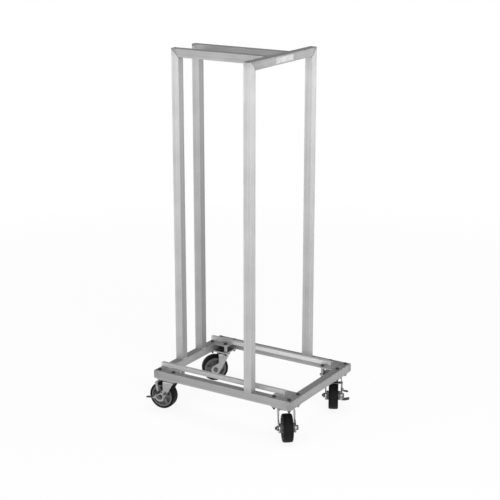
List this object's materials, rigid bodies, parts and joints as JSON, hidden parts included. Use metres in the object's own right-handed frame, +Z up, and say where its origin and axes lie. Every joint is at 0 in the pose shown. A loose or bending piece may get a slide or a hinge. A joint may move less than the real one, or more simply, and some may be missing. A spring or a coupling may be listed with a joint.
{
  "type": "bun pan dolly",
  "caption": "Open-ended upright dolly of square aluminium tube that holds a stack of sheet pans on rails between posts and rolls on swivel casters with foot brakes.",
  "frame": {"origin": "on the floor, under the middle of the base frame", "axes": "+X along the length towards the open loading end, +Y across the width from the front side to the back, +Z up"},
  "size_m": [0.8244, 0.5863, 1.645],
  "materials": {
    "satin_aluminium": "satin mill finish, lightly brushed along the tubes",
    "zinc_steel": "zinc plated pressed steel",
    "fastener_steel": "plated hexagon fasteners",
    "bearing_steel": "ground steel",
    "cast_hub": "grey cast hub, slightly rough",
    "tyre_rubber": "black rubber, satin, on the treads and the pedal grips"
  },
  "bodies": {
    "frame": {"front_base_tube": "satin_aluminium", "back_base_tube": "satin_aluminium", "left_base_tube": "satin_aluminium", "right_base_tube": "satin_aluminium", "left_front_post": "satin_aluminium", "left_back_post": "satin_aluminium", "front_post": "satin_aluminium", "back_post": "satin_aluminium", "front_top_bar": "satin_aluminium", "back_top_bar": "satin_aluminium", "cross_top_bar": "satin_aluminium", "front_rail": "satin_aluminium", "back_rail": "satin_aluminium", "caster_bolts": "fastener_steel", "caster_nuts": "fastener_steel", "bolt_spacers": "fastener_steel", "kingpins": "fastener_steel", "swivel_balls": "bearing_steel", "front_left_gusset": "satin_aluminium", "front_right_gusset": "satin_aluminium", "back_right_gusset": "satin_aluminium", "back_left_gusset": "satin_aluminium", "front_left_caster_plate": "zinc_steel", "front_right_caster_plate": "zinc_steel", "back_right_caster_plate": "zinc_steel", "back_left_caster_plate": "zinc_steel"},
    "front_left_swivel": {"front_left_fork": "zinc_steel", "front_left_axle_bolt": "fastener_steel", "front_left_axle_nut": "fastener_steel", "front_left_axle_sleeve": "bearing_steel", "front_left_lever_rivet": "fastener_steel"},
    "front_left_wheel": {"front_left_wheel_hub": "cast_hub", "front_left_tyre": "tyre_rubber", "front_left_wheel_bearing": "bearing_steel"},
    "front_left_brake": {"front_left_brake_lever": "zinc_steel", "front_left_pedal_grips": "tyre_rubber"},
    "front_right_swivel": {"front_right_fork": "zinc_steel", "front_right_axle_bolt": "fastener_steel", "front_right_axle_nut": "fastener_steel", "front_right_axle_sleeve": "bearing_steel"},
    "front_right_wheel": {"front_right_wheel_hub": "cast_hub", "front_right_tyre": "tyre_rubber", "front_right_wheel_bearing": "bearing_steel"},
    "back_right_swivel": {"back_right_fork": "zinc_steel", "back_right_axle_bolt": "fastener_steel", "back_right_axle_nut": "fastener_steel", "back_right_axle_sleeve": "bearing_steel", "back_right_lever_rivet": "fastener_steel"},
    "back_right_wheel": {"back_right_wheel_hub": "cast_hub", "back_right_tyre": "tyre_rubber", "back_right_wheel_bearing": "bearing_steel"},
    "back_right_brake": {"back_right_brake_lever": "zinc_steel", "back_right_pedal_grips": "tyre_rubber"},
    "back_left_swivel": {"back_left_fork": "zinc_steel", "back_left_axle_bolt": "fastener_steel", "back_left_axle_nut": "fastener_steel", "back_left_axle_sleeve": "bearing_steel"},
    "back_left_wheel": {"back_left_wheel_hub": "cast_hub", "back_left_tyre": "tyre_rubber", "back_left_wheel_bearing": "bearing_steel"}
  },
  "joints": [
    {"name": "front_left_swivel_turn", "type": "hinge", "parent": "frame", "child": "front_left_swivel", "pos_m": [-0.30485, -0.21735, 0.1489], "axis": [0, 0, 1], "continuous": true},
    {"name": "front_left_wheel_roll", "type": "hinge", "parent": "front_left_swivel", "child": "front_left_wheel", "pos_m": [-0.34654, -0.22247, 0.0635], "axis": [0.1219, -0.9925, 0], "continuous": true},
    {"name": "front_left_brake_press", "type": "hinge", "parent": "front_left_swivel", "child": "front_left_brake", "pos_m": [-0.32073, -0.2193, 0.0835], "axis": [0.1219, -0.9925, 0], "range_deg": [0, 12]},
    {"name": "front_right_swivel_turn", "type": "hinge", "parent": "frame", "child": "front_right_swivel", "pos_m": [0.30485, -0.21735, 0.1489], "axis": [0, 0, 1], "continuous": true},
    {"name": "front_right_wheel_roll", "type": "hinge", "parent": "front_right_swivel", "child": "front_right_wheel", "pos_m": [0.33071, -0.25045, 0.0635], "axis": [0.788, 0.6157, 0], "continuous": true},
    {"name": "back_right_swivel_turn", "type": "hinge", "parent": "frame", "child": "back_right_swivel", "pos_m": [0.30485, 0.21735, 0.1489], "axis": [0, 0, 1], "continuous": true},
    {"name": "back_right_wheel_roll", "type": "hinge", "parent": "back_right_swivel", "child": "back_right_wheel", "pos_m": [0.32457, 0.18027, 0.0635], "axis": [0.8829, 0.4695, 0], "continuous": true},
    {"name": "back_right_brake_press", "type": "hinge", "parent": "back_right_swivel", "child": "back_right_brake", "pos_m": [0.31236, 0.20322, 0.0835], "axis": [0.8829, 0.4695, 0], "range_deg": [0, 12]},
    {"name": "back_left_swivel_turn", "type": "hinge", "parent": "frame", "child": "back_left_swivel", "pos_m": [-0.30485, 0.21735, 0.1489], "axis": [0, 0, 1], "continuous": true},
    {"name": "back_left_wheel_roll", "type": "hinge", "parent": "back_left_swivel", "child": "back_left_wheel", "pos_m": [-0.33702, 0.19035, 0.0635], "axis": [0.6428, -0.766, 0], "continuous": true}
  ]
}
